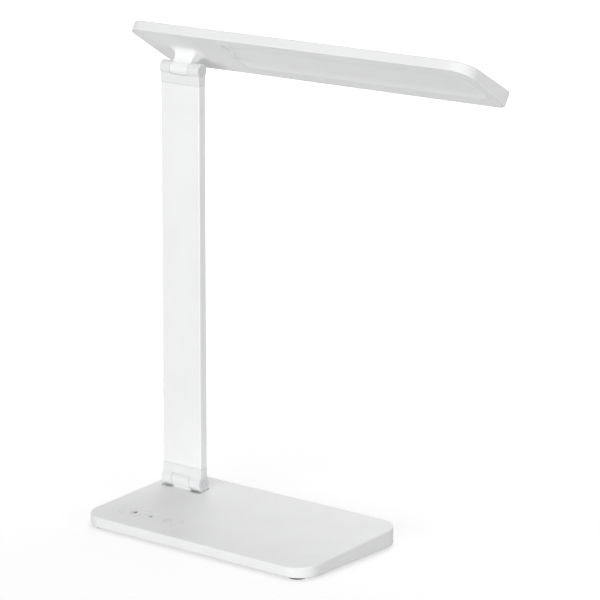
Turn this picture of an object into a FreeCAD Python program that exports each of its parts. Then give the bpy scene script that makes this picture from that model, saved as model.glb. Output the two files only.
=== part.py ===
import FreeCAD, Part
import math
import os

from FreeCAD import Vector

# A folding desk lamp: a thin wedge base with touch keys, a flat arm and a long light head, joined by two
# friction hinges whose axes run along the long edge of the base. All sizes are in millimetres.
# The origin is the middle of the base's footprint, on the desk. +X runs to the user's right, along both
# hinge axes, +Y runs away from the user and +Z is up.

# Base
base_width = 200.0
base_depth = 110.0
base_corner_radius = 17.0
base_front_height = 7.4
base_rear_height = 13.0
base_wall = 1.8
base_top_edge_radius = 1.0
base_bottom_edge_radius = 1.0
plate_thickness = 1.6
plate_seam = 0.15
least_radius = 0.5
foot_diameter = 13.0
foot_thickness = 2.6
foot_recess = 0.8
foot_seam = 0.1
foot_side_inset = 13.5
foot_end_inset = 10.5
foot_edge_radius = 0.4

# Cover screws and their bosses
boss_radius = 3.2
screw_thread_radius = 1.15
screw_core_radius = 1.15
screw_head_radius = 2.2
screw_length = 5.0
boss_side_inset = 26.0
boss_end_inset = 9.0
boss_rear_inner_left = 48.0
boss_rear_inner_right = 112.0

# Touch keys
key_panel_length = 54.8
key_panel_width = 13.0
key_panel_left = 18.1
key_panel_front = 16.5
key_panel_thickness = 0.9
key_panel_seam = 0.2
key_ledge = 1.5
key_pitch = 15.5
key_pad_radius = 3.6
key_pad_thickness = 0.2
key_board_length = 59.0
key_board_width = 17.0
key_board_thickness = 1.0

# Steel weights in the base
weight_thickness = 3.0
weight_key_gap = 1.8
weight_right_inset = 8.0
weight_front_inset = 8.0
weight_depth = 60.0
weight_block_left = 118.0
weight_block_thickness = 6.0
weight_block_depth = 30.0
weight_corner_radius = 6.0
weight_gap = 0.4
boss_clearance = 0.5
board_clearance = 1.0

# Driver board with its parts, and the power inlet in the rear wall
board_length = 50.0
board_width = 30.0
board_left = 58.0
board_thickness = 1.2
board_standoff = 0.6
board_rear_gap = 8.0
board_corner_radius = 1.0
standoff_radius = 2.5
standoff_inset = 4.0
jack_width = 9.0
jack_height = 6.8
jack_depth = 11.0
jack_left = 84.0
jack_nose_radius = 3.3
jack_nose_gap = 0.15
jack_bore_radius = 2.85
jack_bore_depth = 9.5
jack_pin_radius = 1.0
jack_pin_setback = 1.0
coil_radius = 4.0
coil_height = 4.2
coil_left = 18.0
coil_rear = 21.0
capacitor_radius = 2.6
capacitor_height = 5.4
capacitor_left = 28.0
capacitor_rear = 22.0
capacitor_pitch = 7.0
chip_length = 5.0
chip_width = 4.0
chip_height = 1.5
chip_left = 41.0
chip_rear = 19.0
plug_block_length = 7.0
plug_block_width = 6.5
plug_block_height = 4.2

# Arm
arm_width = 35.0
arm_thickness = 7.0
arm_wall = 1.0
arm_edge_radius = 0.8
arm_left_inset = 7.4
tongue_length = 12.0
tongue_gap = 0.1
tube_seam = 0.12
tongue_screw_left = 3.0
tongue_screw_right = 11.0
tongue_screw_radius = 1.2
tongue_screw_head_radius = 2.1
tongue_screw_length = 4.4

# Hinges
hinge_rear_inset = 26.2
hinge_rise = 5.3
hinge_span = 297.2
lower_knuckle_radius = 6.0
upper_knuckle_radius = 5.0
lower_seam_height = 11.5
upper_seam_drop = 10.3
lower_flare_radius = 8.0
upper_flare_radius = 1.5
knuckle_width = 16.0
knuckle_side_gap = 0.3
knuckle_clearance = 0.3
knuckle_edge_radius = 0.4
shaft_radius = 2.5
shaft_bore_radius = 1.5
shaft_head_thickness = 1.4
shaft_head_gap = 0.15
shaft_engagement = 5.4
running_gap = 0.05
seat_gap = 0.03
bush_wall = 0.6
cap_thickness = 1.2
cap_rim = 1.0
cap_gap = 0.08
cap_ring_radius = 2.4
cap_ring_width = 0.6
cap_ring_depth = 0.35
cap_edge_radius = 0.25
spring_washer_thickness = 0.45
friction_washer_gap = 0.05
washer_rim = 0.5

# The base's hinge block, the slot that it stands in and the pockets for the arm's knuckles
pedestal_thickness = 7.5
pocket_front = 6.6
pocket_rear = 6.2
pocket_side = 0.8
pocket_depth = 2.2
pocket_corner_radius = 1.0
slot_gap = 0.15
seat_thickness = 2.6
flange_thickness = 2.4
flange_width = 36.0
flange_depth = 26.0
flange_corner_radius = 2.0
flange_screw_x = 13.5
flange_screw_y = 9.0
flange_screw_length = 4.6
flange_screw_head = 1.2
seat_margin = 2.0

# Light head, set at its tilt: its back slopes up from the front edge to the rear edge
head_length = 288.7
head_left_overhang = 33.4
head_front_reach = 33.0
head_rear_reach = 28.0
head_front_thickness = 7.25
head_rear_thickness = 10.4
head_front_left_radius = 11.0
head_front_right_radius = 14.0
head_rear_radius = 11.0
head_rise = 12.5
head_tilt = 31.1
head_wall = 1.6
head_top_edge_radius = 1.2
head_bottom_edge_radius = 0.6
tray_thickness = 2.0
tray_seam = 0.2
neck_thickness = 8.0
neck_edge_radius = 1.2
neck_fillet_radius = 6.5
clip_width = 6.0
clip_thickness = 1.0
clip_height = 2.6
clip_bead_radius = 0.35
clip_bead_drop = 0.65
clip_pitch = 62.0

# Window, diffuser and the edge-lit stack over it
window_left = 75.2
window_right_rim = 6.4
window_front_rim = 9.5
window_rear_rim = 13.0
window_corner_radius = 8.5
window_square_radius = 0.6
diffuser_seam = 0.2
diffuser_recess = 1.6
diffuser_web = 1.2
diffuser_lip = 0.7
diffuser_cove_radius = 38.0
diffuser_flange = 1.8
guide_thickness = 1.4
guide_inset = 1.0
guide_corner_radius = 1.0
reflector_thickness = 0.25
strip_thickness = 1.0
strip_height = 2.1
led_length = 3.0
led_depth = 0.7
led_height = 1.3
led_count = 24
led_gap = 0.1
stack_gap = 0.05

# Stiffener over the neck
stiffener_thickness = 1.0
stiffener_length = 58.0
stiffener_width = 40.0
stiffener_corner_radius = 4.0
stiffener_screw_x = 22.0
stiffener_screw_y = 14.0
stiffener_screw_radius = 1.1
stiffener_screw_head_radius = 2.1
stiffener_screw_head_height = 1.2
stiffener_post_radius = 3.0
stiffener_post_height = 0.6

# Internal lead
lead_radius = 1.1
lead_hole_radius = 1.5
lead_bend_radius = 1.6
lead_wide_bend_radius = 6.0
lead_low_gap = 0.5
lead_over_gap = 0.3
lead_plug_run = 6.0
lead_slope_run = 8.0

# Derived places
half_width = base_width / 2
half_depth = base_depth / 2
base_bottom = foot_thickness - foot_recess
plate_top = base_bottom + plate_thickness
wedge_slope = (base_rear_height - base_front_height) / base_depth
wedge_angle = math.degrees(math.atan(wedge_slope))
axis_y = half_depth - hinge_rear_inset
arm_centre = -half_width + arm_left_inset + arm_width / 2
outer_knuckle = (arm_width - knuckle_width) / 2 - knuckle_side_gap
X_AXIS = Vector(1, 0, 0)
Y_AXIS = Vector(0, 1, 0)
Z_AXIS = Vector(0, 0, 1)
MARGIN = 1.0
NEAR = 1e-4


def top_height(y):
    """Height of the wedge's top face over the desk at y."""
    return base_bottom + base_front_height + wedge_slope * (y + half_depth)


lower_axis_z = top_height(axis_y) + hinge_rise
upper_axis_z = lower_axis_z + hinge_span
pocket_floor = top_height(axis_y) - pocket_depth
flange_top = pocket_floor - seat_thickness
flange_bottom = flange_top - flange_thickness


# Shape helpers
def box(x0, y0, z0, x1, y1, z1):
    return Part.makeBox(x1 - x0, y1 - y0, z1 - z0, Vector(x0, y0, z0))


def cylinder(radius, start, direction, length):
    return Part.makeCylinder(radius, length, start, direction)


def ring(outer, inner, start, direction, length):
    return cylinder(outer, start, direction, length).cut(cylinder(inner, start, direction, length))


def corner_arc(cx, cy, radius, start_angle, z):
    """A quarter turn of a plan outline, as an edge, counterclockwise from start_angle."""
    points = []
    for turn in (0, 45, 90):
        angle = math.radians(start_angle + turn)
        points.append(Vector(cx + radius * math.cos(angle), cy + radius * math.sin(angle), z))
    return Part.Arc(*points).toShape()


def plan_face(x0, y0, x1, y1, radii, z):
    """A rectangle in plan whose corners have their own radii: front left, front right, rear right, rear left."""
    limit = min(x1 - x0, y1 - y0) / 2
    r = [min(value, limit) for value in radii]
    corners = [
        corner_arc(x0 + r[0], y0 + r[0], r[0], 180, z),
        corner_arc(x1 - r[1], y0 + r[1], r[1], 270, z),
        corner_arc(x1 - r[2], y1 - r[2], r[2], 0, z),
        corner_arc(x0 + r[3], y1 - r[3], r[3], 90, z),
    ]
    edges = []
    for index, arc in enumerate(corners):
        following = corners[(index + 1) % 4]
        edges.append(arc)
        start, end = arc.lastVertex().Point, following.firstVertex().Point
        if start.distanceToPoint(end) > NEAR:
            edges.append(Part.LineSegment(start, end).toShape())
    return Part.Face(Part.Wire(edges))


def rounded_plate(x0, y0, x1, y1, radius, z0, z1):
    radii = radius if isinstance(radius, (list, tuple)) else [radius] * 4
    return plan_face(x0, y0, x1, y1, radii, z0).extrude(Vector(0, 0, z1 - z0))


def fuse_all(shapes):
    body = shapes[0]
    for shape in shapes[1:]:
        body = body.fuse(shape)
    return body.removeSplitter()


def cut_all(body, tools):
    for tool in tools:
        body = body.cut(tool)
    return body


def edges_at_height(shape, height):
    """Edges that lie wholly in one horizontal plane."""
    found = []
    for edge in shape.Edges:
        bounds = edge.BoundBox
        if abs(bounds.ZMin - height) < NEAR and abs(bounds.ZMax - height) < NEAR:
            found.append(edge)
    return found


def edges_on_slope(shape, height):
    """Edges that lie in a sloping plane, given by its height at y."""
    found = []
    for edge in shape.Edges:
        points = [edge.valueAt(edge.FirstParameter), edge.valueAt(edge.LastParameter)]
        if all(abs(point.z - height(point.y)) < NEAR for point in points):
            found.append(edge)
    return found


def mirror_x(shape, x):
    """The shape's mirror image about the plane at x."""
    return shape.mirror(Vector(x, 0, 0), X_AXIS)


def rounded_path(points, radii):
    """Straight runs joined by tangent arcs; radii holds one radius for each inner point."""
    edges = []
    start = points[0]
    for index, radius in enumerate(radii):
        corner = points[index + 1]
        before = (corner - points[index]).normalize()
        after = (points[index + 2] - corner).normalize()
        turn = before.getAngle(after)
        setback = radius * math.tan(turn / 2)
        enter = corner - before * setback
        leave = corner + after * setback
        bisector = (after - before).normalize()
        centre = corner + bisector * (radius / math.cos(turn / 2))
        middle = centre - bisector * radius
        if (enter - start).Length > NEAR:
            edges.append(Part.LineSegment(start, enter).toShape())
        edges.append(Part.Arc(enter, middle, leave).toShape())
        start = leave
    edges.append(Part.LineSegment(start, points[-1]).toShape())
    return Part.Wire(edges)


def lead(points, radii):
    """A round lead along a path of runs and arcs."""
    path = rounded_path(points, radii)
    direction = (points[1] - points[0]).normalize()
    section = Part.Wire([Part.Circle(points[0], direction, lead_radius).toShape()])
    return Part.Wire(path).makePipeShell([section], True, False)


def countersunk_screw(tip_side, head_face, thread_radius, head_radius, length):
    """A countersunk screw whose flat head lies at head_face and whose shank runs along tip_side."""
    direction = Vector(tip_side).normalize()
    cone = Part.makeCone(head_radius, thread_radius, head_radius - thread_radius, head_face, direction)
    shank = cylinder(thread_radius, head_face, direction, length)
    return cone.fuse(shank).removeSplitter()


def in_head(shape):
    """Turns a shape from the head's own frame, whose origin is the upper hinge axis, to the set tilt."""
    placed = shape.copy()
    placed.rotate(Vector(0, 0, 0), X_AXIS, -head_tilt)
    placed.translate(Vector(arm_centre, axis_y, upper_axis_z))
    return placed


def slope_cut(reach, y, height, angle):
    """Everything above a plane that is at height at y and rises towards the rear at angle, in degrees."""
    above = box(-reach, y - reach, height, reach, y + reach, height + reach)
    above.rotate(Vector(0, y, height), X_AXIS, angle)
    return above


def on_wedge(shape, origin_y):
    """Leans a level shape, built at the height of the top face at origin_y, to lie along that face."""
    placed = shape.copy()
    placed.rotate(Vector(0, origin_y, top_height(origin_y)), X_AXIS, wedge_angle)
    return placed


# Base
def wedge_space(inset, bottom):
    """The wedge form, drawn in by inset from the sides and the top, from the height bottom up."""
    x, y = half_width - inset, half_depth - inset
    radius = max(base_corner_radius - inset, least_radius)
    form = rounded_plate(-x, -y, x, y, radius, bottom, base_bottom + base_rear_height + MARGIN)
    height = top_height(-half_depth) - inset / math.cos(math.radians(wedge_angle))
    return form.cut(slope_cut(2 * base_width, -half_depth, height, wedge_angle))


def boss_places():
    x, y = half_width - boss_side_inset, half_depth - boss_end_inset
    return [
        Vector(-x, -y, 0),
        Vector(0, -y, 0),
        Vector(x, -y, 0),
        Vector(-half_width + boss_rear_inner_left, y, 0),
        Vector(-half_width + boss_rear_inner_right, y, 0),
        Vector(x, y, 0),
    ]


def key_centre():
    return Vector(-half_width + key_panel_left + key_panel_length / 2,
                  -half_depth + key_panel_front + key_panel_width / 2, 0)


def key_stadium(grow, depth_from, depth_to):
    """A slot-shaped plate along the top face, between two depths under it."""
    centre = key_centre()
    half_l, half_w = key_panel_length / 2 + grow, key_panel_width / 2 + grow
    surface = top_height(centre.y)
    plate = rounded_plate(centre.x - half_l, centre.y - half_w, centre.x + half_l, centre.y + half_w,
                          half_w, surface - depth_to, surface - depth_from)
    return on_wedge(plate, centre.y)


def pedestal_plan(grow):
    half_w = knuckle_width / 2 + grow
    half_t = pedestal_thickness / 2 + grow
    return arm_centre - half_w, axis_y - half_t, arm_centre + half_w, axis_y + half_t


def knuckle_pockets():
    """Room for the arm's two outer knuckles, on either side of the pedestal's slot."""
    pocket = rounded_plate(arm_centre + knuckle_width / 2, axis_y - pocket_front,
                           arm_centre + arm_width / 2 + pocket_side, axis_y + pocket_rear,
                           pocket_corner_radius, pocket_floor, top_height(half_depth) + MARGIN)
    return [pocket, mirror_x(pocket, arm_centre)]


def base_cover():
    outer = wedge_space(0.0, base_bottom)
    outer = outer.makeFillet(base_top_edge_radius, edges_on_slope(outer, top_height))
    outer = outer.makeFillet(base_bottom_edge_radius, edges_at_height(outer, base_bottom))
    body = outer.cut(wedge_space(base_wall, base_bottom - MARGIN))
    # The seat under the pockets, which the hinge block is screwed up against, and the screw bosses
    seat_x = max(flange_width, arm_width + 2 * pocket_side) / 2 + seat_margin
    seat_y = flange_depth / 2 + seat_margin
    seat = box(arm_centre - seat_x, axis_y - seat_y, flange_top, arm_centre + seat_x, axis_y + seat_y,
               top_height(axis_y) + MARGIN)
    additions = [seat.common(wedge_space(base_wall / 2, flange_top))]
    for place in boss_places():
        column = cylinder(boss_radius, Vector(place.x, place.y, plate_top), Z_AXIS, base_rear_height)
        additions.append(column.common(wedge_space(base_wall / 2, plate_top)))
    body = fuse_all([body] + additions)
    x0, y0, x1, y1 = pedestal_plan(slot_gap)
    slot = box(x0, y0, 0, x1, y1, top_height(half_depth) + MARGIN)
    tools = knuckle_pockets() + [slot]
    tools.append(key_stadium(key_panel_seam, -MARGIN, key_panel_thickness))
    tools.append(key_stadium(-key_ledge, 0, base_wall + MARGIN))
    for place in boss_places():
        tools.append(cylinder(screw_core_radius, Vector(place.x, place.y, 0), Z_AXIS,
                              base_bottom + screw_length + seat_gap))
    for place in flange_screw_places():
        tools.append(cylinder(screw_core_radius, place, Z_AXIS, flange_screw_length + seat_gap))
    tools.append(cylinder(jack_nose_radius + jack_nose_gap, jack_axis_start(), Y_AXIS, base_depth))
    return cut_all(body, tools)


def foot_places():
    """A foot in each corner and one in the middle."""
    x, y = half_width - foot_side_inset, half_depth - foot_end_inset
    return [Vector(0, 0, 0)] + [Vector(sx * x, sy * y, 0) for sx in (-1, 1) for sy in (-1, 1)]


def base_plate():
    inset = base_wall + plate_seam
    x, y = half_width - inset, half_depth - inset
    radius = max(base_corner_radius - inset, least_radius)
    plate = rounded_plate(-x, -y, x, y, radius, base_bottom, plate_top)
    for dx in (standoff_inset, board_length - standoff_inset):
        for dy in (standoff_inset, board_width - standoff_inset):
            spot = Vector(board_x0() + dx, board_y1() - dy, plate_top - MARGIN / 2)
            plate = plate.fuse(cylinder(standoff_radius, spot, Z_AXIS, board_standoff + MARGIN / 2))
    tools = []
    for place in foot_places():
        tools.append(cylinder(foot_diameter / 2 + foot_seam, place, Z_AXIS, foot_thickness))
    for place in boss_places():
        face = Vector(place.x, place.y, base_bottom)
        tools.append(cylinder(screw_thread_radius + seat_gap, face, Z_AXIS, plate_thickness))
        tools.append(Part.makeCone(screw_head_radius + seat_gap, screw_thread_radius + seat_gap,
                                   screw_head_radius - screw_thread_radius, face, Z_AXIS))
    return cut_all(plate.removeSplitter(), tools)


def foot_pads():
    pads = []
    for place in foot_places():
        pad = cylinder(foot_diameter / 2, place, Z_AXIS, foot_thickness)
        pads.append(pad.makeFillet(foot_edge_radius, edges_at_height(pad, 0)))
    return Part.makeCompound(pads)


def base_screws():
    screws = []
    for place in boss_places():
        face = Vector(place.x, place.y, base_bottom)
        screws.append(countersunk_screw(Z_AXIS, face, screw_thread_radius, screw_head_radius, screw_length))
    return Part.makeCompound(screws)


def with_room(weight):
    """Cuts room for the cover's bosses and the driver board out of a weight."""
    for place in boss_places():
        weight = weight.cut(cylinder(boss_radius + boss_clearance, place, Z_AXIS, 3 * base_rear_height))
    x0, y1 = board_x0(), board_y1()
    room = box(x0 - board_clearance, y1 - board_width - board_clearance, 0,
               x0 + board_length + board_clearance, y1 + board_clearance, 3 * base_rear_height)
    return weight.cut(room)


def weight_plate():
    bottom = plate_top + weight_gap / 2
    plate = rounded_plate(key_centre().x + key_board_length / 2 + weight_key_gap,
                          -half_depth + weight_front_inset,
                          half_width - weight_right_inset,
                          -half_depth + weight_front_inset + weight_depth,
                          weight_corner_radius, bottom, bottom + weight_thickness)
    return with_room(plate)


def weight_block():
    bottom = plate_top + weight_gap / 2
    front = -half_depth + weight_front_inset + weight_depth + weight_gap
    block = rounded_plate(-half_width + weight_block_left, front, half_width - weight_right_inset,
                          front + weight_block_depth, weight_corner_radius, bottom,
                          bottom + weight_block_thickness)
    return with_room(block)


def touch_panel():
    return key_stadium(0.0, 0.0, key_panel_thickness)


def touch_board():
    centre = key_centre()
    under = top_height(centre.y) - base_wall - key_pad_thickness - stack_gap
    board = box(centre.x - key_board_length / 2, centre.y - key_board_width / 2, under - key_board_thickness,
                centre.x + key_board_length / 2, centre.y + key_board_width / 2, under)
    pads = []
    for step in (-1, 0, 1):
        spot = Vector(centre.x + step * key_pitch, centre.y, under)
        pads.append(cylinder(key_pad_radius, spot, Z_AXIS, key_pad_thickness))
    return on_wedge(fuse_all([board] + pads), centre.y)


def board_x0():
    return -half_width + board_left


def board_y1():
    return half_depth - base_wall - board_rear_gap


def board_top():
    return plate_top + board_standoff + board_thickness


def driver_board():
    x0, y1 = board_x0(), board_y1()
    return rounded_plate(x0, y1 - board_width, x0 + board_length, y1, board_corner_radius,
                         board_top() - board_thickness, board_top())


def plug_block_centre():
    return Vector(board_x0() + plug_block_length / 2 + stack_gap, axis_y, board_top())


def driver_parts():
    x0, y1 = board_x0(), board_y1()
    z = board_top()
    plug = plug_block_centre()
    capacitor = Vector(x0 + capacitor_left, y1 - capacitor_rear, z)
    chip_x, chip_y = x0 + chip_left, y1 - chip_rear
    parts = [
        cylinder(coil_radius, Vector(x0 + coil_left, y1 - coil_rear, z), Z_AXIS, coil_height),
        cylinder(capacitor_radius, capacitor, Z_AXIS, capacitor_height),
        cylinder(capacitor_radius, capacitor + X_AXIS * capacitor_pitch, Z_AXIS, capacitor_height),
        box(chip_x, chip_y - chip_width, z, chip_x + chip_length, chip_y, z + chip_height),
        box(plug.x - plug_block_length / 2, plug.y - plug_block_width / 2, z,
            plug.x + plug_block_length / 2, plug.y + plug_block_width / 2, z + plug_block_height),
    ]
    return Part.makeCompound(parts)


def jack_axis_start():
    """The middle of the jack's bore, inside the base, from where it runs out through the rear wall."""
    return Vector(-half_width + jack_left + jack_width / 2, half_depth - base_wall - MARGIN,
                  board_top() + jack_height / 2)


def dc_jack():
    axis = jack_axis_start()
    face = half_depth - base_wall - jack_nose_gap
    z = board_top()
    block = box(axis.x - jack_width / 2, face - jack_depth, z, axis.x + jack_width / 2, face, z + jack_height)
    # The nose fills the hole in the wall and stands flush with the outside
    nose = cylinder(jack_nose_radius, Vector(axis.x, face - MARGIN, axis.z), Y_AXIS, half_depth - face + MARGIN)
    bore = cylinder(jack_bore_radius, Vector(axis.x, half_depth - jack_bore_depth, axis.z), Y_AXIS,
                    jack_bore_depth + MARGIN)
    pin = cylinder(jack_pin_radius, Vector(axis.x, half_depth - jack_bore_depth - MARGIN, axis.z), Y_AXIS,
                   jack_bore_depth + MARGIN - jack_pin_setback)
    return block.fuse(nose).cut(bore).fuse(pin).removeSplitter()


def flange_screw_places():
    return [Vector(arm_centre + sx * flange_screw_x, axis_y + sy * flange_screw_y, flange_bottom)
            for sx in (-1, 1) for sy in (-1, 1)]


def base_hinge_block():
    x0, y0, x1, y1 = pedestal_plan(0.0)
    knuckle = cylinder(lower_knuckle_radius, Vector(x0, axis_y, lower_axis_z), X_AXIS, knuckle_width)
    pedestal = box(x0, y0, flange_bottom, x1, y1, lower_axis_z)
    flange = rounded_plate(arm_centre - flange_width / 2, axis_y - flange_depth / 2,
                           arm_centre + flange_width / 2, axis_y + flange_depth / 2,
                           flange_corner_radius, flange_bottom, flange_top)
    body = fuse_all([knuckle, pedestal, flange])
    tools = [
        cylinder(bush_outer() + seat_gap, Vector(x0, axis_y, lower_axis_z), X_AXIS, knuckle_width),
        cylinder(lead_hole_radius, Vector(arm_centre, axis_y, flange_bottom), Z_AXIS,
                 lower_axis_z - flange_bottom),
    ]
    for place in flange_screw_places():
        tools.append(cylinder(screw_thread_radius + seat_gap, place, Z_AXIS, flange_thickness))
    return cut_all(body, tools)


def hinge_block_screws():
    screws = []
    for place in flange_screw_places():
        head = cylinder(screw_head_radius, place - Z_AXIS * flange_screw_head, Z_AXIS, flange_screw_head)
        screws.append(head.fuse(cylinder(screw_thread_radius, place, Z_AXIS, flange_screw_length)))
    return Part.makeCompound(screws)


def lead_split_x():
    """The plane where the leads of two bodies meet, on the hinge axis, in the left side gap."""
    return arm_centre - knuckle_width / 2 - knuckle_side_gap / 2


def lead_riser_x():
    """The left outer knuckle's lead hole, in the middle of the wall between its counterbore and the gap."""
    return arm_centre - arm_width / 2 + (counterbore_depth(False) + outer_knuckle) / 2


def base_lead():
    plug = plug_block_centre()
    low = plate_top + lead_radius + lead_low_gap
    high = plug.z + plug_block_height / 2
    start = plug.x - plug_block_length / 2
    points = [
        Vector(start, axis_y, high),
        Vector(start - lead_plug_run, axis_y, high),
        Vector(start - lead_plug_run - lead_slope_run, axis_y, low),
        Vector(arm_centre, axis_y, low),
        Vector(arm_centre, axis_y, lower_axis_z),
        Vector(lead_split_x(), axis_y, lower_axis_z),
    ]
    return lead(points, [lead_wide_bend_radius, lead_wide_bend_radius, lead_bend_radius, lead_bend_radius])


# Hinges
def bush_outer():
    return shaft_radius + running_gap + bush_wall


def counterbore_depth(sprung):
    """The sprung end also holds the pair of spring washers."""
    room = cap_thickness + shaft_head_thickness + shaft_head_gap
    return room + 2 * spring_washer_thickness if sprung else room


def knuckle_profile(radius, flare, end, side):
    """A bracket's outline seen along the hinge axis: straight sides that flare into a round knuckle.

    The outline is about the hinge axis, and the bracket runs from it along side times Z, up to end."""
    half = arm_thickness / 2
    if radius <= half:
        flare = 0.0
    rise = math.sqrt((radius + flare) ** 2 - (half + flare) ** 2) if radius > half else 0.0
    share = radius / (radius + flare)
    touch_y, touch_z = (half + flare) * share, rise * share
    if radius <= half:
        touch_y, touch_z = radius, 0.0

    def at(y, z):
        return Vector(0, y, side * z)

    edges = [
        Part.LineSegment(at(-half, end), at(half, end)).toShape(),
        Part.LineSegment(at(half, end), at(half, rise)).toShape(),
    ]
    if flare > 0:
        middle = math.atan2(rise, half + flare) / 2
        bend_y = half + flare - flare * math.cos(middle)
        bend_z = rise - flare * math.sin(middle)
        edges.append(Part.Arc(at(half, rise), at(bend_y, bend_z), at(touch_y, touch_z)).toShape())
    edges.append(Part.Arc(at(touch_y, touch_z), at(0, -radius), at(-touch_y, touch_z)).toShape())
    if flare > 0:
        edges.append(Part.Arc(at(-touch_y, touch_z), at(-bend_y, bend_z), at(-half, rise)).toShape())
    edges.append(Part.LineSegment(at(-half, rise), at(-half, end)).toShape())
    return Part.Face(Part.Wire(edges))


def bracket(radius, flare, end, side, axis_z):
    """An arm end: two outer knuckles, a body as thick as the arm and a tongue that plugs into the tube."""
    left = arm_centre - arm_width / 2
    body = knuckle_profile(radius, flare, end, side).extrude(Vector(arm_width, 0, 0))
    body.translate(Vector(left, axis_y, axis_z))
    ends = [edge for edge in body.Edges
            if edge.BoundBox.XLength < NEAR and edge.Curve.TypeId == "Part::GeomCircle"]
    body = body.makeFillet(knuckle_edge_radius, ends)
    room_x = knuckle_width / 2 + knuckle_side_gap
    reach = radius + knuckle_clearance
    room = cylinder(reach, Vector(arm_centre - room_x, axis_y, axis_z), X_AXIS, 2 * room_x)
    behind = box(arm_centre - room_x, -2 * reach, -3 * reach, arm_centre + room_x, 2 * reach, 0)
    if side < 0:
        behind.rotate(Vector(0, 0, 0), X_AXIS, 180)
    behind.translate(Vector(0, axis_y, axis_z))
    body = body.cut(room).cut(behind)
    # Tongue
    inner_x = arm_width / 2 - arm_wall - tongue_gap
    inner_y = arm_thickness / 2 - arm_wall - tongue_gap
    near, far = axis_z + side * (end - MARGIN), axis_z + side * (end + tongue_length)
    tongue = box(arm_centre - inner_x, axis_y - inner_y, min(near, far), arm_centre + inner_x,
                 axis_y + inner_y, max(near, far))
    body = body.fuse(tongue).removeSplitter()
    tools = [cylinder(shaft_radius + seat_gap, Vector(left, axis_y, axis_z), X_AXIS, arm_width)]
    for mirrored, sprung in ((False, False), (True, True)):
        tool = cylinder(radius - cap_rim, Vector(left, axis_y, axis_z), X_AXIS, counterbore_depth(sprung))
        tools.append(mirror_x(tool, arm_centre) if mirrored else tool)
    riser = cylinder(lead_hole_radius, Vector(lead_riser_x(), axis_y, axis_z), Vector(0, 0, side),
                     end + tongue_length)
    tools.append(riser)
    for place in tongue_screw_places(axis_z + side * (end + tongue_length / 2)):
        tools.append(cylinder(tongue_screw_radius, place, -Y_AXIS, tongue_screw_length + seat_gap))
    return cut_all(body, tools)


def tongue_screw_places(z):
    back = axis_y + arm_thickness / 2
    return [Vector(arm_centre - tongue_screw_left, back, z), Vector(arm_centre + tongue_screw_right, back, z)]


def shoulders():
    """Heights of the brackets' shoulders, which the tube stops just short of."""
    return lower_axis_z + lower_seam_height, upper_axis_z - upper_seam_drop


def arm_tube():
    bottom, top = shoulders()
    bottom, top = bottom + tube_seam, top - tube_seam
    x0, x1 = arm_centre - arm_width / 2, arm_centre + arm_width / 2
    y0, y1 = axis_y - arm_thickness / 2, axis_y + arm_thickness / 2
    outer = rounded_plate(x0, y0, x1, y1, arm_edge_radius, bottom, top)
    inner = box(x0 + arm_wall, y0 + arm_wall, bottom, x1 - arm_wall, y1 - arm_wall, top)
    tools = [inner]
    for place in all_tongue_screws():
        tools.append(cylinder(tongue_screw_radius + seat_gap, place, -Y_AXIS, arm_wall))
        tools.append(Part.makeCone(tongue_screw_head_radius + seat_gap, tongue_screw_radius + seat_gap,
                                   tongue_screw_head_radius - tongue_screw_radius, place, -Y_AXIS))
    return cut_all(outer, tools)


def all_tongue_screws():
    bottom, top = shoulders()
    return tongue_screw_places(bottom + tongue_length / 2) + tongue_screw_places(top - tongue_length / 2)


def tube_screws():
    return Part.makeCompound([countersunk_screw(-Y_AXIS, place, tongue_screw_radius, tongue_screw_head_radius,
                                                tongue_screw_length) for place in all_tongue_screws()])


def arm_lead():
    riser = lead_riser_x()
    points = [
        Vector(lead_split_x(), axis_y, lower_axis_z),
        Vector(riser, axis_y, lower_axis_z),
        Vector(riser, axis_y, upper_axis_z),
        Vector(lead_split_x(), axis_y, upper_axis_z),
    ]
    return lead(points, [lead_bend_radius, lead_bend_radius])


def shaft(radius):
    """A stub shaft on the X axis, whose head lies behind the cap of an outer knuckle that starts at x = 0."""
    head_from = cap_thickness + shaft_head_gap / 2
    tip = outer_knuckle + knuckle_side_gap + shaft_engagement
    head = cylinder(radius - cap_rim - cap_gap, Vector(head_from, 0, 0), X_AXIS, shaft_head_thickness)
    stem = cylinder(shaft_radius, Vector(head_from, 0, 0), X_AXIS, tip - head_from)
    return head.fuse(stem).removeSplitter()


def placed_on_axis(shape, axis_z, mirrored):
    """Moves a shape built from the left end of the hinge to its hinge, or to that hinge's right end."""
    moved = shape.copy()
    moved.translate(Vector(arm_centre - arm_width / 2, axis_y, axis_z))
    return mirror_x(moved, arm_centre) if mirrored else moved


def wire_shaft(radius, axis_z, side):
    """The left stub, bored for the lead, which enters it from the arm through a radial hole."""
    seat = counterbore_depth(False)
    bore = cylinder(shaft_bore_radius, Vector(seat, 0, 0), X_AXIS, arm_width)
    riser = cylinder(lead_hole_radius, Vector((seat + outer_knuckle) / 2, 0, 0), Vector(0, 0, side),
                     2 * shaft_radius)
    return placed_on_axis(shaft(radius).cut(bore).cut(riser), axis_z, False)


def pivot_shaft(radius, axis_z):
    return placed_on_axis(shaft(radius), axis_z, True)


def bushes(axis_z):
    x0 = outer_knuckle + knuckle_side_gap
    bush = ring(bush_outer(), shaft_radius + running_gap, Vector(x0, 0, 0), X_AXIS, shaft_engagement)
    return Part.makeCompound([placed_on_axis(bush, axis_z, mirrored) for mirrored in (False, True)])


def friction_washers(radius, axis_z):
    x0 = outer_knuckle + friction_washer_gap
    washer = ring(radius - washer_rim, shaft_radius + running_gap, Vector(x0, 0, 0), X_AXIS,
                  knuckle_side_gap - 2 * friction_washer_gap)
    return Part.makeCompound([placed_on_axis(washer, axis_z, mirrored) for mirrored in (False, True)])


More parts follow.
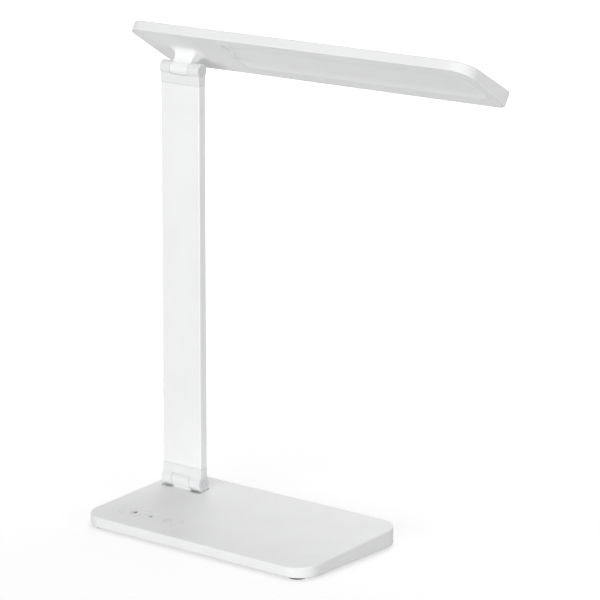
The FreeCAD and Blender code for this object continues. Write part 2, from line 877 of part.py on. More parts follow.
def spring_washers(radius, axis_z):
    start = cap_thickness + shaft_head_gap / 2 + shaft_head_thickness
    rings = []
    for step in (0, 1):
        disc = ring(radius - cap_rim - 2 * cap_gap, shaft_radius + running_gap,
                    Vector(start + step * spring_washer_thickness, 0, 0), X_AXIS, spring_washer_thickness)
        rings.append(placed_on_axis(disc, axis_z, True))
    return Part.makeCompound(rings)


def end_caps(radius, axis_z):
    outer = radius - cap_rim - cap_gap
    cap = cylinder(outer, Vector(0, 0, 0), X_AXIS, cap_thickness)
    rim = [edge for edge in cap.Edges if edge.BoundBox.XMax < NEAR]
    cap = cap.makeFillet(cap_edge_radius, rim)
    groove = ring(cap_ring_radius, cap_ring_radius - cap_ring_width, Vector(0, 0, 0), X_AXIS, cap_ring_depth)
    cap = cap.cut(groove)
    return Part.makeCompound([placed_on_axis(cap, axis_z, mirrored) for mirrored in (False, True)])


# Light head, in its own frame: x along its length from the arm's middle, y across it, z out of its back,
# with the upper hinge axis at the origin
head_x0 = -head_left_overhang
head_x1 = head_x0 + head_length
head_y0 = -head_front_reach
head_y1 = head_rear_reach
tray_top = head_rise + tray_thickness
back_slope = (head_rear_thickness - head_front_thickness) / (head_y1 - head_y0)
back_angle = math.degrees(math.atan(back_slope))
window_x0 = head_x0 + window_left
window_x1 = head_x1 - window_right_rim
window_y0 = head_y0 + window_front_rim
window_y1 = head_y1 - window_rear_rim
diffuser_top = head_rise + diffuser_recess + diffuser_web


def back_height(y):
    """Height of the head's sloping back over the hinge axis at y."""
    return head_rise + head_front_thickness + back_slope * (y - head_y0)


def head_plan(inset, z0, z1):
    corners = [head_front_left_radius, head_front_right_radius, head_rear_radius, head_rear_radius]
    radii = [max(radius - inset, least_radius) for radius in corners]
    return rounded_plate(head_x0 + inset, head_y0 + inset, head_x1 - inset, head_y1 - inset, radii, z0, z1)


def head_space(inset, bottom):
    """The head's form, drawn in by inset from its edges and its back, from the height bottom up."""
    form = head_plan(inset, bottom, back_height(head_y1) + MARGIN)
    height = back_height(head_y0) - inset / math.cos(math.radians(back_angle))
    return form.cut(slope_cut(2 * head_length, head_y0, height, back_angle))


def window_plan(grow, z0, z1):
    """The window's outline: square at its left end, round at its right end."""
    left = window_square_radius + max(grow, 0)
    right = window_corner_radius + grow
    return rounded_plate(window_x0 - grow, window_y0 - grow, window_x1 + grow, window_y1 + grow,
                         [left, right, right, left], z0, z1)


def clip_places():
    """Clips stand along both long edges of the tray."""
    count = max(int((head_length - head_front_left_radius - head_front_right_radius) / clip_pitch), 1)
    first = (head_x0 + head_x1) / 2 - clip_pitch * (count - 1) / 2
    return [first + clip_pitch * index for index in range(count)]


def clip_bead(x, outer_y, grow):
    centre = Vector(x - clip_width / 2 - grow, outer_y, tray_top + clip_height - clip_bead_drop)
    return cylinder(clip_bead_radius + grow, centre, X_AXIS, clip_width + 2 * grow)


def head_cover():
    outer = head_space(0.0, head_rise)
    outer = outer.makeFillet(head_top_edge_radius, edges_on_slope(outer, back_height))
    outer = outer.makeFillet(head_bottom_edge_radius, edges_at_height(outer, head_rise))
    body = outer.cut(head_space(head_wall, head_rise - MARGIN))
    for x in clip_places():
        for edge_y in (head_y0 + head_wall + tray_seam, head_y1 - head_wall - tray_seam):
            body = body.cut(clip_bead(x, edge_y, tray_seam / 2))
    return in_head(body)


def head_tray():
    inset = head_wall + tray_seam
    plate = head_plan(inset, head_rise, tray_top)
    # The neck: a column as wide as its knuckle, which flares into the underside
    half_k, half_t = knuckle_width / 2, neck_thickness / 2
    column = rounded_plate(-half_k, -half_t, half_k, half_t, neck_edge_radius, 0, tray_top)
    body = plate.fuse(column).removeSplitter()
    foot = []
    for edge in edges_at_height(body, head_rise):
        bounds = edge.BoundBox
        if max(-bounds.XMin, bounds.XMax) < half_k + NEAR and max(-bounds.YMin, bounds.YMax) < half_t + NEAR:
            foot.append(edge)
    body = body.makeFillet(neck_fillet_radius, foot)
    knuckle = cylinder(upper_knuckle_radius, Vector(-half_k, 0, 0), X_AXIS, knuckle_width)
    body = body.fuse(knuckle).removeSplitter()
    for x in clip_places():
        for side, edge_y in ((1, head_y0 + inset), (-1, head_y1 - inset)):
            inner_y = edge_y + side * clip_thickness
            tab = box(x - clip_width / 2, min(edge_y, inner_y), tray_top - tray_thickness / 2,
                      x + clip_width / 2, max(edge_y, inner_y), tray_top + clip_height)
            body = body.fuse(tab).fuse(clip_bead(x, edge_y, 0.0))
    for place in stiffener_screw_places():
        body = body.fuse(cylinder(stiffener_post_radius, Vector(place.x, place.y, tray_top - MARGIN), Z_AXIS,
                                  MARGIN + stiffener_post_height))
    tools = [
        window_plan(0.0, head_rise - MARGIN, tray_top + MARGIN),
        cylinder(bush_outer() + seat_gap, Vector(-half_k, 0, 0), X_AXIS, knuckle_width),
        cylinder(lead_hole_radius, Vector(0, 0, 0), Z_AXIS, tray_top + MARGIN),
    ]
    for place in stiffener_screw_places():
        tools.append(cylinder(stiffener_screw_radius, Vector(place.x, place.y, head_rise + tray_thickness / 2),
                              Z_AXIS, 2 * tray_thickness))
    return in_head(cut_all(body.removeSplitter(), tools))


def diffuser():
    plug = window_plan(-diffuser_seam, head_rise, diffuser_top)
    flange = window_plan(diffuser_flange, tray_top + stack_gap, diffuser_top)
    body = plug.fuse(flange).removeSplitter()
    # A hollow with coved sides that is cut off square at its left end, where it has an upright step
    radius, depth = diffuser_cove_radius, min(diffuser_recess, diffuser_cove_radius)
    outside = radius - math.sqrt(radius ** 2 - (radius - depth) ** 2)
    edge = diffuser_seam + diffuser_lip
    corner = max(window_corner_radius - edge + outside, radius + least_radius)
    bottom, floor = head_rise - MARGIN, head_rise + diffuser_recess
    hollow = rounded_plate(window_x0 - 2 * radius, window_y0 + edge - outside, window_x1 - edge + outside,
                           window_y1 - edge + outside, corner, floor - radius - MARGIN, floor)
    hollow = hollow.makeFillet(radius, edges_at_height(hollow, floor))
    inside = box(window_x0 + edge, window_y0 + edge, bottom, window_x1 - edge, window_y1 - edge, floor)
    return in_head(body.cut(hollow.common(inside)))


def stack_plan(z0, z1):
    """A layer over the diffuser, short of the strip of lamps along its rear edge."""
    inset = guide_inset
    rear = strip_front() - led_depth - led_gap
    return rounded_plate(window_x0 + inset, window_y0 + inset, window_x1 - inset, rear, guide_corner_radius,
                         z0, z1)


def strip_front():
    return window_y1 + diffuser_flange - guide_inset - strip_thickness


def light_guide():
    z0 = diffuser_top + stack_gap
    return in_head(stack_plan(z0, z0 + guide_thickness))


def reflector_sheet():
    z0 = diffuser_top + 2 * stack_gap + guide_thickness
    return in_head(stack_plan(z0, z0 + reflector_thickness))


def led_board():
    z0 = diffuser_top + stack_gap
    return in_head(box(window_x0 + guide_inset, strip_front(), z0, window_x1 - window_corner_radius,
                       strip_front() + strip_thickness, z0 + strip_height))


def led_packages():
    z0 = diffuser_top + stack_gap + (guide_thickness - led_height) / 2
    start = window_x0 + 2 * guide_inset + led_length
    end = window_x1 - window_corner_radius - led_length
    pitch = (end - start) / (led_count - 1)
    chips = []
    for index in range(led_count):
        x = start + pitch * index
        chips.append(box(x - led_length / 2, strip_front() - led_depth, z0, x + led_length / 2, strip_front(),
                         z0 + led_height))
    return in_head(Part.makeCompound(chips))


def stiffener_screw_places():
    return [Vector(sx * stiffener_screw_x, sy * stiffener_screw_y, 0) for sx in (-1, 1) for sy in (-1, 1)]


def neck_stiffener():
    z0 = tray_top + stiffener_post_height
    plate = rounded_plate(-stiffener_length / 2, -stiffener_width / 2, stiffener_length / 2,
                          stiffener_width / 2, stiffener_corner_radius, z0, z0 + stiffener_thickness)
    tools = [cylinder(2 * lead_hole_radius, Vector(0, 0, 0), Z_AXIS, back_height(head_y1))]
    for place in stiffener_screw_places():
        tools.append(cylinder(stiffener_screw_radius + seat_gap, place, Z_AXIS, back_height(head_y1)))
    return in_head(cut_all(plate, tools))


def stiffener_screws():
    z0 = tray_top + stiffener_post_height + stiffener_thickness
    screws = []
    for place in stiffener_screw_places():
        top = Vector(place.x, place.y, z0)
        head = cylinder(stiffener_screw_head_radius, top, Z_AXIS, stiffener_screw_head_height)
        shank = cylinder(stiffener_screw_radius, top, -Z_AXIS, z0 - head_rise - tray_thickness / 2)
        screws.append(head.fuse(shank))
    return in_head(Part.makeCompound(screws))


def head_lead():
    level = tray_top + stiffener_post_height + stiffener_thickness + lead_radius + lead_over_gap
    points = [
        Vector(lead_split_x() - arm_centre, 0, 0),
        Vector(0, 0, 0),
        Vector(0, 0, level),
        Vector(window_x0 - 3 * lead_radius, 0, level),
        Vector(window_x0 - 3 * lead_radius, strip_front() + strip_thickness / 2, level),
        Vector(window_x0 + guide_inset - stack_gap, strip_front() + strip_thickness / 2, level),
    ]
    return in_head(lead(points, [lead_bend_radius, lead_bend_radius, lead_bend_radius, lead_bend_radius]))


def export(name, shape):
    shape.exportStep("parts/" + name + ".step")


def main():
    os.makedirs("parts", exist_ok=True)
    export("base_cover", base_cover())
    export("base_plate", base_plate())
    export("foot_pads", foot_pads())
    export("base_screws", base_screws())
    export("weight_plate", weight_plate())
    export("weight_block", weight_block())
    export("touch_panel", touch_panel())
    export("touch_board", touch_board())
    export("driver_board", driver_board())
    export("driver_parts", driver_parts())
    export("dc_jack", dc_jack())
    export("base_hinge_block", base_hinge_block())
    export("hinge_block_screws", hinge_block_screws())
    export("base_lead", base_lead())
    export("arm_tube", arm_tube())
    export("lower_bracket", bracket(lower_knuckle_radius, lower_flare_radius, lower_seam_height, 1,
                                    lower_axis_z))
    export("upper_bracket", bracket(upper_knuckle_radius, upper_flare_radius, upper_seam_drop, -1,
                                    upper_axis_z))
    export("tube_screws", tube_screws())
    export("arm_lead", arm_lead())
    for level, radius, axis_z, side in (("lower", lower_knuckle_radius, lower_axis_z, 1),
                                        ("upper", upper_knuckle_radius, upper_axis_z, -1)):
        export(level + "_wire_shaft", wire_shaft(radius, axis_z, side))
        export(level + "_pivot_shaft", pivot_shaft(radius, axis_z))
        export(level + "_bushes", bushes(axis_z))
        export(level + "_friction_washers", friction_washers(radius, axis_z))
        export(level + "_spring_washers", spring_washers(radius, axis_z))
        export(level + "_end_caps", end_caps(radius, axis_z))
    export("head_cover", head_cover())
    export("head_tray", head_tray())
    export("diffuser", diffuser())
    export("light_guide", light_guide())
    export("reflector_sheet", reflector_sheet())
    export("led_board", led_board())
    export("led_packages", led_packages())
    export("neck_stiffener", neck_stiffener())
    export("stiffener_screws", stiffener_screws())
    export("head_lead", head_lead())


main()
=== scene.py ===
import math

import bmesh
import bpy
from mathutils import Matrix, Vector


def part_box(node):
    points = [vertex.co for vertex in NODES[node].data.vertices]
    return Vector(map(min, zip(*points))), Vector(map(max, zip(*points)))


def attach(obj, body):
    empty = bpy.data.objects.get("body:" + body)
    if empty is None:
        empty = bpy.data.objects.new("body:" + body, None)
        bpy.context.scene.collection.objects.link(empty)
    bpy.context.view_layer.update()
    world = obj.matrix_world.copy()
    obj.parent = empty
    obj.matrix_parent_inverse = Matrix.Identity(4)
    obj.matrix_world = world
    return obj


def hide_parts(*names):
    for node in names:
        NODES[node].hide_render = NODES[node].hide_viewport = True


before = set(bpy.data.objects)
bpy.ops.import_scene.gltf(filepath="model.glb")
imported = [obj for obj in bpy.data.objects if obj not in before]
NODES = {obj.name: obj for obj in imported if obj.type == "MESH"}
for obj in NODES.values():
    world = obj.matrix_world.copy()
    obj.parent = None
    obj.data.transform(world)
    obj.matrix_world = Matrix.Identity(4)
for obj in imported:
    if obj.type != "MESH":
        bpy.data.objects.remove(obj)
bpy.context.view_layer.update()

MM = 0.001


# Materials
def principled(name):
    """A new material with its node tree, its shader and the object's own coordinates."""
    mat = bpy.data.materials.new(name)
    mat.use_nodes = True
    tree = mat.node_tree
    shader = tree.nodes["Principled BSDF"]
    place = tree.nodes.new("ShaderNodeTexCoord").outputs["Object"]
    return mat, tree, shader, place


def noise(tree, place, grain, detail=3.0, stretch=(1.0, 1.0, 1.0)):
    """Noise whose features are about grain metres across, longer along an axis with a small stretch value."""
    if stretch != (1.0, 1.0, 1.0):
        mapping = tree.nodes.new("ShaderNodeMapping")
        mapping.inputs["Scale"].default_value = stretch
        tree.links.new(place, mapping.inputs["Vector"])
        place = mapping.outputs["Vector"]
    node = tree.nodes.new("ShaderNodeTexNoise")
    node.inputs["Scale"].default_value = 1.0 / grain
    node.inputs["Detail"].default_value = detail
    tree.links.new(place, node.inputs["Vector"])
    return node.outputs["Fac"]


NOISE_RANGE = (0.3, 0.7)


def spread(tree, value, low, high):
    """Maps noise, which lies mostly inside NOISE_RANGE, to the range low to high."""
    node = tree.nodes.new("ShaderNodeMapRange")
    node.inputs["From Min"].default_value, node.inputs["From Max"].default_value = NOISE_RANGE
    node.inputs["To Min"].default_value = low
    node.inputs["To Max"].default_value = high
    tree.links.new(value, node.inputs["Value"])
    return node.outputs["Result"]


def tint(tree, value, dark, light):
    """Mixes two colours by a noise value."""
    node = tree.nodes.new("ShaderNodeMix")
    node.data_type = "RGBA"
    node.inputs["A"].default_value = (*dark, 1.0)
    node.inputs["B"].default_value = (*light, 1.0)
    tree.links.new(spread(tree, value, 0.0, 1.0), node.inputs["Factor"])
    return node.outputs["Result"]


def bump(tree, shader, value, height):
    """Adds relief of about height metres, over any relief that the shader has already."""
    node = tree.nodes.new("ShaderNodeBump")
    node.inputs["Strength"].default_value = 1.0
    node.inputs["Distance"].default_value = height
    tree.links.new(value, node.inputs["Height"])
    if shader.inputs["Normal"].is_linked:
        tree.links.new(shader.inputs["Normal"].links[0].from_socket, node.inputs["Normal"])
    tree.links.new(node.outputs["Normal"], shader.inputs["Normal"])


def shade(colour, factor):
    return tuple(channel * factor for channel in colour)


def surface(name, colour, roughness, grain, relief, vary=0.015, rough_vary=0.05, metallic=0.0,
            blotch=0.03, stretch=(1.0, 1.0, 1.0), specular=0.5, wave=None):
    """A worked surface: faint unevenness of colour and gloss, fine relief, and an optional longer wave."""
    mat, tree, shader, place = principled(name)
    broad = noise(tree, place, blotch, 2.0)
    fine = noise(tree, place, grain, 3.0, stretch)
    colours = tint(tree, broad, shade(colour, 1.0 - vary), shade(colour, 1.0 + vary))
    tree.links.new(colours, shader.inputs["Base Color"])
    rough = spread(tree, fine, roughness - rough_vary, roughness + rough_vary)
    tree.links.new(rough, shader.inputs["Roughness"])
    bump(tree, shader, fine, relief)
    if wave:
        bump(tree, shader, noise(tree, place, wave[0], 1.0), wave[1])
    shader.inputs["Metallic"].default_value = metallic
    shader.inputs["Specular IOR Level"].default_value = specular
    return mat


def speckled(name, colour, speck, roughness, grain, relief):
    """A matt surface with fine specks, as on printed circuit boards and worn rubber."""
    mat, tree, shader, place = principled(name)
    cells = tree.nodes.new("ShaderNodeTexVoronoi")
    cells.inputs["Scale"].default_value = 1.0 / grain
    tree.links.new(place, cells.inputs["Vector"])
    tree.links.new(tint(tree, cells.outputs["Distance"], colour, speck), shader.inputs["Base Color"])
    fine = noise(tree, place, grain / 2, 2.0)
    tree.links.new(spread(tree, fine, roughness - 0.08, roughness + 0.08), shader.inputs["Roughness"])
    bump(tree, shader, cells.outputs["Distance"], relief)
    return mat


WHITE = (0.875, 0.878, 0.882)
shell = surface("moulded_shell", WHITE, 0.46, 0.0004, 0.000012, wave=(0.02, 0.00002))
tray = surface("moulded_tray", (0.885, 0.888, 0.892), 0.50, 0.0004, 0.000012, wave=(0.02, 0.00002))
coat = surface("powder_coat", WHITE, 0.44, 0.0009, 0.00003, wave=(0.006, 0.00002))
paint = surface("satin_paint", (0.80, 0.803, 0.807), 0.40, 0.0006, 0.000012)
plate = surface("textured_plate", (0.80, 0.803, 0.807), 0.62, 0.0007, 0.00006)
washer = surface("washer_polymer", (0.82, 0.82, 0.81), 0.5, 0.0003, 0.00001)
rubber = speckled("foot_rubber", (0.045, 0.045, 0.047), (0.075, 0.075, 0.077), 0.82, 0.0008, 0.00005)
zinc = surface("zinc_screws", (0.60, 0.60, 0.61), 0.36, 0.0003, 0.00001, metallic=1.0, vary=0.05)
mill = surface("mill_steel", (0.36, 0.36, 0.37), 0.48, 0.0005, 0.00002, metallic=1.0, vary=0.12,
               stretch=(0.05, 1.0, 1.0))
ground = surface("ground_steel", (0.52, 0.52, 0.53), 0.28, 0.0002, 0.00001, metallic=1.0, vary=0.04,
                 stretch=(1.0, 0.1, 0.1))
keys = surface("key_gloss", (0.855, 0.858, 0.864), 0.22, 0.0012, 0.000004, vary=0.006, rough_vary=0.03)
board = speckled("solder_resist", (0.02, 0.10, 0.05), (0.035, 0.15, 0.075), 0.38, 0.0012, 0.00003)
black = surface("moulded_black", (0.035, 0.035, 0.037), 0.45, 0.0004, 0.00002, vary=0.08)
sleeve = surface("lead_sleeve", (0.70, 0.70, 0.69), 0.55, 0.0006, 0.00002, vary=0.03)
acetal = surface("bush_acetal", (0.78, 0.77, 0.71), 0.42, 0.0003, 0.00001, vary=0.02)
cap = surface("cap_satin", (0.70, 0.703, 0.71), 0.42, 0.0003, 0.00001, vary=0.02)
milky = surface("milky_acrylic", (0.84, 0.845, 0.85), 0.34, 0.0005, 0.000006, vary=0.006, rough_vary=0.04)
clear = surface("clear_guide", (0.86, 0.885, 0.89), 0.12, 0.001, 0.000004, vary=0.006, rough_vary=0.02)
film = surface("reflector_film", (0.92, 0.92, 0.92), 0.66, 0.0006, 0.00001)
lens = surface("lamp_lens", (0.85, 0.72, 0.30), 0.25, 0.0004, 0.00001, vary=0.04)
ink = surface("key_ink", (0.48, 0.48, 0.49), 0.50, 0.0004, 0.00001, vary=0.04)

FINISH = {
    "base_cover": shell, "base_plate": plate, "foot_pads": rubber, "base_screws": zinc,
    "weight_plate": mill, "weight_block": mill, "touch_panel": keys, "touch_board": board,
    "driver_board": board, "driver_parts": black, "dc_jack": black, "base_hinge_block": paint,
    "hinge_block_screws": zinc, "base_lead": sleeve, "lower_bushes": acetal,
    "arm_tube": coat, "lower_bracket": paint, "upper_bracket": paint, "tube_screws": zinc,
    "arm_lead": sleeve, "lower_wire_shaft": ground, "lower_pivot_shaft": ground,
    "lower_friction_washers": washer, "lower_spring_washers": ground, "lower_end_caps": cap,
    "upper_wire_shaft": ground, "upper_pivot_shaft": ground, "upper_friction_washers": washer,
    "upper_spring_washers": ground, "upper_end_caps": cap,
    "head_cover": shell, "head_tray": tray, "upper_bushes": acetal, "diffuser": milky,
    "light_guide": clear, "reflector_sheet": film, "led_board": board, "led_packages": lens,
    "neck_stiffener": mill, "stiffener_screws": zinc, "head_lead": sleeve,
}
for name, mat in FINISH.items():
    node = NODES[name]
    node.data.materials.clear()
    node.data.materials.append(mat)


# Pieces
def add_piece(name, shape, mat, body):
    """Links a finished bmesh as an object that rides on a body."""
    mesh = bpy.data.meshes.new(name)
    bmesh.ops.recalc_face_normals(shape, faces=shape.faces)
    shape.to_mesh(mesh)
    shape.free()
    mesh.materials.append(mat)
    piece = bpy.data.objects.new(name, mesh)
    bpy.context.scene.collection.objects.link(piece)
    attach(piece, body)
    return piece


def face_frame(node):
    """A frame on a node's upper face: its origin over the box's middle, X level and Z along the normal."""
    mesh = node.data
    top = max((face for face in mesh.polygons if face.normal.z > 0.9), key=lambda face: face.area)
    normal = top.normal.normalized()
    low, high = (Vector(corner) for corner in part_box(node.name))
    middle = (low + high) / 2
    level = mesh.vertices[top.vertices[0]].co
    middle.z = level.z - (normal.x * (middle.x - level.x) + normal.y * (middle.y - level.y)) / normal.z
    along = Vector((1.0, 0.0, 0.0))
    return Matrix.Translation(middle) @ Matrix((along, normal.cross(along), normal)).transposed().to_4x4()


# Key symbols: a half-filled ring, a sun and a power sign, printed on the touch panel
KEY_PITCH = 15.5 * MM
SYMBOL_RADIUS = 2.6 * MM
SYMBOL_LINE = 0.4 * MM
SYMBOL_RELIEF = 0.02 * MM
SYMBOL_PINHOLE = SYMBOL_LINE / 8
ARC_STEPS = 48


def band(shape, inner, outer, start, end):
    """A flat ring sector about the origin, between two angles in degrees counted from X."""
    steps = max(int(ARC_STEPS * (end - start) / 360), 2)
    rows = []
    for step in range(steps + 1):
        angle = math.radians(start + (end - start) * step / steps)
        ray = Vector((math.cos(angle), math.sin(angle), 0.0))
        rows.append((shape.verts.new(ray * inner), shape.verts.new(ray * outer)))
    for (a, b), (c, d) in zip(rows, rows[1:]):
        shape.faces.new((a, b, d, c))


def bar(shape, start, end, width):
    """A flat straight line between two places in the symbol's plane."""
    start, end = Vector(start).to_3d(), Vector(end).to_3d()
    side = (end - start).normalized().cross(Vector((0.0, 0.0, 1.0))) * width / 2
    shape.faces.new([shape.verts.new(corner) for corner in
                     (start + side, end + side, end - side, start - side)])


def half_ring(shape):
    """A ring whose right half is filled, but for a pinhole in its middle."""
    fill_radius = SYMBOL_RADIUS - 1.6 * SYMBOL_LINE
    band(shape, SYMBOL_RADIUS - SYMBOL_LINE, SYMBOL_RADIUS, 0, 360)
    band(shape, SYMBOL_PINHOLE, fill_radius, -90, 90)


def sun(shape):
    """A disc with a pinhole in its middle, and rays around it."""
    rays, disc, ray_start = 8, 0.42, 0.62
    band(shape, SYMBOL_PINHOLE, disc * SYMBOL_RADIUS, 0, 360)
    for index in range(rays):
        angle = 2 * math.pi * index / rays
        ray = Vector((math.cos(angle), math.sin(angle)))
        bar(shape, ray * SYMBOL_RADIUS * ray_start, ray * SYMBOL_RADIUS, SYMBOL_LINE)


def power_sign(shape):
    """A ring with a gap at its top, as many degrees wide on each side of the bar that stands in it."""
    gap, bar_start, bar_end = 28, 0.35, 1.1
    band(shape, SYMBOL_RADIUS - SYMBOL_LINE, SYMBOL_RADIUS, 90 + gap, 450 - gap)
    bar(shape, (0.0, SYMBOL_RADIUS * bar_start), (0.0, SYMBOL_RADIUS * bar_end), SYMBOL_LINE)


def add_symbols():
    panel = face_frame(NODES["touch_panel"])
    for step, (name, draw) in enumerate((("dimmer", half_ring), ("tone", sun), ("power", power_sign)), -1):
        shape = bmesh.new()
        draw(shape)
        faces = list(shape.faces)
        bmesh.ops.solidify(shape, geom=faces, thickness=2 * SYMBOL_RELIEF)
        top = max(vert.co.z for vert in shape.verts)
        bmesh.ops.translate(shape, verts=shape.verts, vec=(step * KEY_PITCH, 0.0, SYMBOL_RELIEF - top))
        shape.transform(panel)
        add_piece("key_symbol_" + name, shape, ink, "base")


add_symbols()


# Screws with cross recesses, in place of the plain ones
def solid_boxes(node):
    """The low and high corners of each separate solid of a node."""
    shape = bmesh.new()
    shape.from_mesh(node.data)
    bmesh.ops.remove_doubles(shape, verts=shape.verts, dist=0.001 * MM)
    left = set(shape.verts)
    boxes = []
    while left:
        found, queue = set(), [left.pop()]
        while queue:
            vert = queue.pop()
            found.add(vert)
            for edge in vert.link_edges:
                other = edge.other_vert(vert)
                if other in left:
                    left.discard(other)
                    queue.append(other)
        places = [vert.co for vert in found]
        boxes.append((Vector([min(place[axis] for place in places) for axis in range(3)]),
                      Vector([max(place[axis] for place in places) for axis in range(3)])))
    shape.free()
    return sorted(boxes, key=lambda corners: tuple(round(value, 6) for value in corners[0]))


def loop_edges(shape, verts):
    return [shape.edges.new((vert, verts[(index + 1) % len(verts)])) for index, vert in enumerate(verts)]


def skin(shape, lower, upper):
    """Joins two loops of the same number of points by faces."""
    for index in range(len(lower)):
        after = (index + 1) % len(lower)
        shape.faces.new((lower[index], lower[after], upper[after], upper[index]))


def cross_loop(shape, reach, width, height):
    """A plus-shaped loop at a height."""
    outline = []
    for quarter in range(4):
        turn = Matrix.Rotation(math.pi / 2 * quarter, 3, "Z")
        for corner in ((reach, -width / 2), (reach, width / 2), (width / 2, width / 2)):
            outline.append(shape.verts.new(turn @ Vector((*corner, height))))
    return outline


def circle_loop(shape, radius, height):
    return [shape.verts.new((radius * math.cos(2 * math.pi * step / ARC_STEPS),
                             radius * math.sin(2 * math.pi * step / ARC_STEPS), height))
            for step in range(ARC_STEPS)]


def countersunk_screw(head_radius, shank_radius, length):
    """A screw along -Z whose flat head lies in the plane of X and Y, with a cross recess in it."""
    shape = bmesh.new()
    edge_break = 0.05 * head_radius
    mouth_reach, mouth_width = 0.62 * head_radius, 0.26 * head_radius
    root_reach, root_width, root_depth = 0.42 * head_radius, 0.18 * head_radius, 0.4 * head_radius
    rim = circle_loop(shape, head_radius - edge_break, 0.0)
    mouth = cross_loop(shape, mouth_reach, mouth_width, 0.0)
    bmesh.ops.triangle_fill(shape, edges=loop_edges(shape, rim) + loop_edges(shape, mouth))
    root = cross_loop(shape, root_reach, root_width, -root_depth)
    skin(shape, mouth, root)
    bmesh.ops.triangle_fill(shape, edges=[edge for edge in shape.edges
                                          if all(vert in root for vert in edge.verts)])
    cone = head_radius - shank_radius
    below = rim
    for radius, depth in ((head_radius, edge_break), (shank_radius, cone), (shank_radius, length)):
        loop = circle_loop(shape, radius, -depth)
        skin(shape, below, loop)
        below = loop
    shape.faces.new(below)
    return shape


def add_screws(node_name, body, outward, head_radius, shank_radius):
    """Stands a cross-recessed screw in the place of each plain one, its head facing along outward."""
    outward = Vector(outward)
    axis = max(range(3), key=lambda index: abs(outward[index]))
    turn = outward.to_track_quat("Z", "X").to_matrix().to_4x4()
    group = bmesh.new()
    for low, high in solid_boxes(NODES[node_name]):
        head = (low + high) / 2
        head[axis] = high[axis] if outward[axis] > 0 else low[axis]
        screw = countersunk_screw(head_radius, shank_radius, high[axis] - low[axis])
        screw.transform(Matrix.Translation(head) @ turn)
        mesh = bpy.data.meshes.new("screw")
        screw.to_mesh(mesh)
        screw.free()
        group.from_mesh(mesh)
        bpy.data.meshes.remove(mesh)
    piece = add_piece(node_name.replace("screws", "cross_screws"), group, zinc, body)
    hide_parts(node_name)


BASE_SCREW_HEAD, BASE_SCREW_SHANK = 2.2 * MM, 1.15 * MM
TUBE_SCREW_HEAD, TUBE_SCREW_SHANK = 2.1 * MM, 1.2 * MM
DOWN, BACK = (0, 0, -1), (0, 1, 0)
add_screws("base_screws", "base", DOWN, BASE_SCREW_HEAD, BASE_SCREW_SHANK)
add_screws("tube_screws", "arm", BACK, TUBE_SCREW_HEAD, TUBE_SCREW_SHANK)


# Camera: the photograph's view, from a perspective fit to the object's edges
CAMERA_TARGET = (0.04404, 0.01035, 0.17305)
CAMERA_AZIMUTH, CAMERA_ELEVATION, CAMERA_ROLL = 38.57, 13.79, 0.18
CAMERA_DISTANCE = 2.06949
CAMERA_LENS = 183.78
CAMERA_CLIP = (0.05, 50.0)


def add_camera(target, azimuth, elevation, roll, distance, lens_mm):
    az, el, tilt = (math.radians(angle) for angle in (azimuth, elevation, roll))
    back = Vector((math.sin(az) * math.cos(el), -math.cos(az) * math.cos(el), math.sin(el)))
    level = Vector((math.cos(az), math.sin(az), 0.0))
    up = back.cross(level)
    right = level * math.cos(tilt) + up * math.sin(tilt)
    data = bpy.data.cameras.new("photo_view")
    data.lens = lens_mm
    data.clip_start, data.clip_end = CAMERA_CLIP
    camera = bpy.data.objects.new("photo_view", data)
    camera.matrix_world = Matrix.Translation(Vector(target) + back * distance) @ Matrix(
        (right, back.cross(right), back)).transposed().to_4x4()
    bpy.context.scene.collection.objects.link(camera)
    bpy.context.scene.camera = camera


add_camera(CAMERA_TARGET, CAMERA_AZIMUTH, CAMERA_ELEVATION, CAMERA_ROLL, CAMERA_DISTANCE, CAMERA_LENS)


# Light: each lamp's place, what it faces, its width and height in metres, and its power in watts
LAMPS = {
    "front": ((0.3, -2.7, 0.6), (0.0, 0.0, 0.15), (2.4, 1.0), 50.0),
    "right": ((2.5, -0.6, 0.55), (0.0, 0.0, 0.15), (1.6, 1.0), 18.5),
    "top": ((-0.3, 1.2, 2.4), (0.0, 0.0, 0.1), (2.2, 1.8), 20.0),
    "back": ((-0.8, 2.5, 0.9), (0.0, 0.0, 0.2), (2.0, 1.4), 14.0),
}
AMBIENT = 0.3


def area_light(name, place, aim, size, power):
    data = bpy.data.lights.new(name, "AREA")
    data.shape = "RECTANGLE"
    data.size, data.size_y = size
    data.energy = power
    lamp = bpy.data.objects.new(name, data)
    direction = Vector(aim) - Vector(place)
    lamp.matrix_world = Matrix.Translation(place) @ direction.to_track_quat("-Z", "Y").to_matrix().to_4x4()
    lamp.visible_camera = False
    bpy.context.scene.collection.objects.link(lamp)


for name, lamp in LAMPS.items():
    area_light(name, *lamp)


def seen_directly(tree):
    """1 where the camera sees a surface, itself, mirrored in gloss or through glass, and 0 for its light."""
    path = tree.nodes.new("ShaderNodeLightPath")
    value = path.outputs["Is Camera Ray"]
    for kind in ("Is Glossy Ray", "Is Transmission Ray"):
        node = tree.nodes.new("ShaderNodeMath")
        node.operation = "MAXIMUM"
        tree.links.new(value, node.inputs[0])
        tree.links.new(path.outputs[kind], node.inputs[1])
        value = node.outputs["Value"]
    return value


def set_world(ambient):
    """Weak even light from all round, behind a background that looks plain white."""
    world = bpy.data.worlds.new("studio")
    world.use_nodes = True
    tree = world.node_tree
    background = tree.nodes["Background"]
    background.inputs["Color"].default_value = (1.0, 1.0, 1.0, 1.0)
    strength = tree.nodes.new("ShaderNodeMapRange")
    strength.inputs["To Min"].default_value = ambient
    strength.inputs["To Max"].default_value = 1.0
    tree.links.new(seen_directly(tree), strength.inputs["Value"])
    tree.links.new(strength.outputs["Result"], background.inputs["Strength"])
    bpy.context.scene.world = world


set_world(AMBIENT)


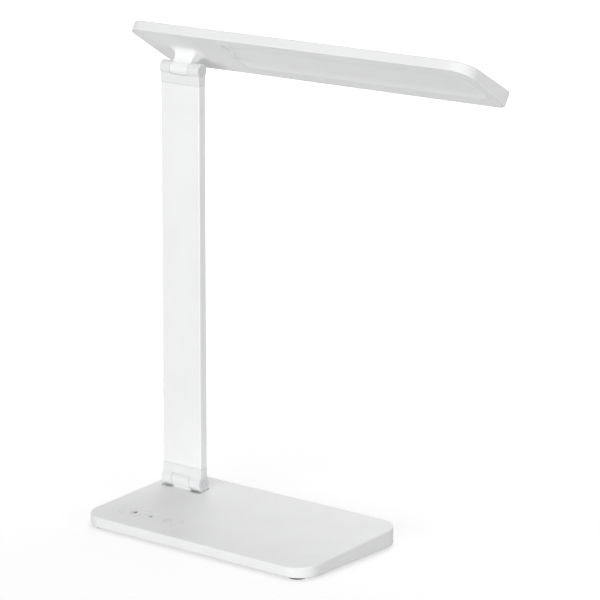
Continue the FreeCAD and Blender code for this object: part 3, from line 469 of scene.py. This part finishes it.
# Floor
FLOOR_SIZE = 12.0
FLOOR_COLOUR = (0.50, 0.50, 0.50)
FLOOR_GRAIN = 0.002
FLOOR_VARY = 0.005
FLOOR_ROUGHNESS, FLOOR_SPECULAR = 0.9, 0.1
FLOOR_GLOW = (0.62, 1.0)
FLOOR_GLOW_REACH = (0.25, 0.75)


def add_floor():
    """A level floor that looks white, by a glow that lights nothing, and darkens in the object's shadow.

    The glow grows with the distance from the object, where the lamps reach the floor less."""
    mesh = bpy.data.meshes.new("floor")
    shape = bmesh.new()
    half = FLOOR_SIZE / 2
    shape.faces.new([shape.verts.new((sx * half, sy * half, 0.0))
                     for sx, sy in ((-1, -1), (1, -1), (1, 1), (-1, 1))])
    shape.to_mesh(mesh)
    shape.free()
    floor = bpy.data.objects.new("floor", mesh)
    bpy.context.scene.collection.objects.link(floor)
    mat, tree, shader, place = principled("studio_floor")
    fine = noise(tree, place, FLOOR_GRAIN, 2.0)
    dark, light = shade(FLOOR_COLOUR, 1 - FLOOR_VARY), shade(FLOOR_COLOUR, 1 + FLOOR_VARY)
    tree.links.new(tint(tree, fine, dark, light),
                   shader.inputs["Base Color"])
    shader.inputs["Roughness"].default_value = FLOOR_ROUGHNESS
    shader.inputs["Specular IOR Level"].default_value = FLOOR_SPECULAR
    shader.inputs["Emission Color"].default_value = (1.0, 1.0, 1.0, 1.0)
    distance = tree.nodes.new("ShaderNodeVectorMath")
    distance.operation = "LENGTH"
    tree.links.new(place, distance.inputs["Vector"])
    glow = tree.nodes.new("ShaderNodeMapRange")
    glow.inputs["From Min"].default_value, glow.inputs["From Max"].default_value = FLOOR_GLOW_REACH
    glow.inputs["To Min"].default_value, glow.inputs["To Max"].default_value = FLOOR_GLOW
    tree.links.new(distance.outputs["Value"], glow.inputs["Value"])
    lift = tree.nodes.new("ShaderNodeMath")
    lift.operation = "MULTIPLY"
    tree.links.new(glow.outputs["Result"], lift.inputs[0])
    tree.links.new(seen_directly(tree), lift.inputs[1])
    tree.links.new(lift.outputs["Value"], shader.inputs["Emission Strength"])
    mesh.materials.append(mat)


add_floor()


bpy.context.scene.view_settings.view_transform = "Standard"
